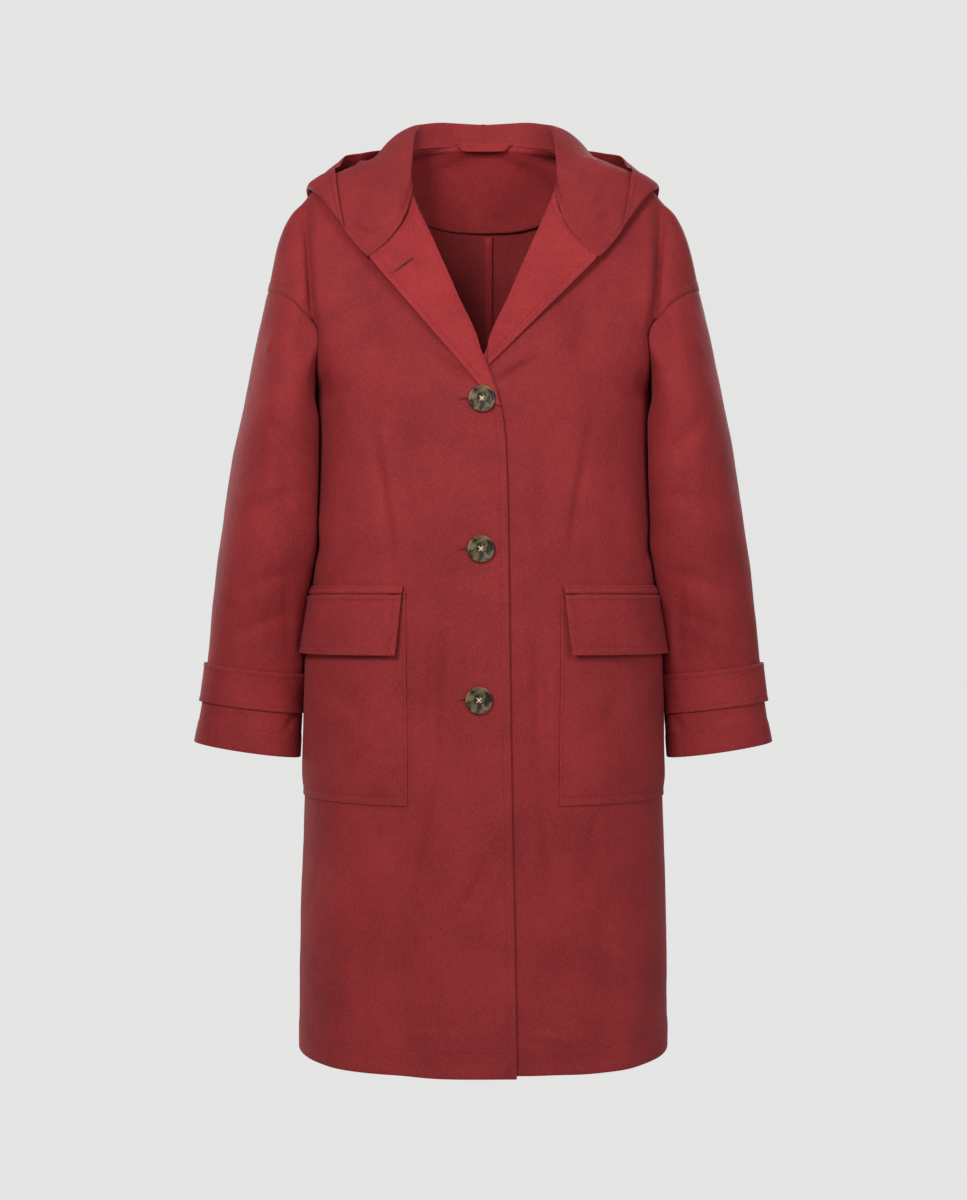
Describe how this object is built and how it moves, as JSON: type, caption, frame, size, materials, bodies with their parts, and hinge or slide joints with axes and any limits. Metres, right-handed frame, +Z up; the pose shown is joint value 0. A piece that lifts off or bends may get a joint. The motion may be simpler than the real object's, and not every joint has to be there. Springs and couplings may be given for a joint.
{
  "type": "hooded trench coat",
  "caption": "Hollow hooded cotton coat in its worn form: open front with turned-back lapels, wide sleeves with cuff straps, patch pockets with flaps, and buttons down the front.",
  "frame": {"origin": "midway between the two points where a shoulder seam meets the neck seam, where the wearer's shoulders hold the coat", "axes": "+X towards the wearer's left, -Y the way the front faces, +Z up along the coat's length"},
  "size_m": [0.6314, 0.3342, 1.0335],
  "materials": {
    "cotton": "plain woven red cotton, matte",
    "facing": "the same red cotton, seen on its turned-back side",
    "horn": "polished olive-brown horn with dark patches"
  },
  "bodies": {
    "root": {"front_right": "cotton", "front_left": "cotton", "back_right": "cotton", "back_left": "cotton", "sleeve_front_right": "cotton", "sleeve_back_right": "cotton", "sleeve_front_left": "cotton", "sleeve_back_left": "cotton", "hood_right": "cotton", "hood_left": "cotton", "pocket_right": "cotton", "pocket_left": "cotton", "pocket_flap_right": "cotton", "pocket_flap_left": "cotton", "cuff_strap_right": "cotton", "cuff_strap_left": "cotton", "lapel_right": "facing", "lapel_left": "facing", "back_neck_facing": "facing", "hanger_loop": "facing", "button_1": "horn", "button_2": "horn", "button_3": "horn"}
  },
  "joints": []
}
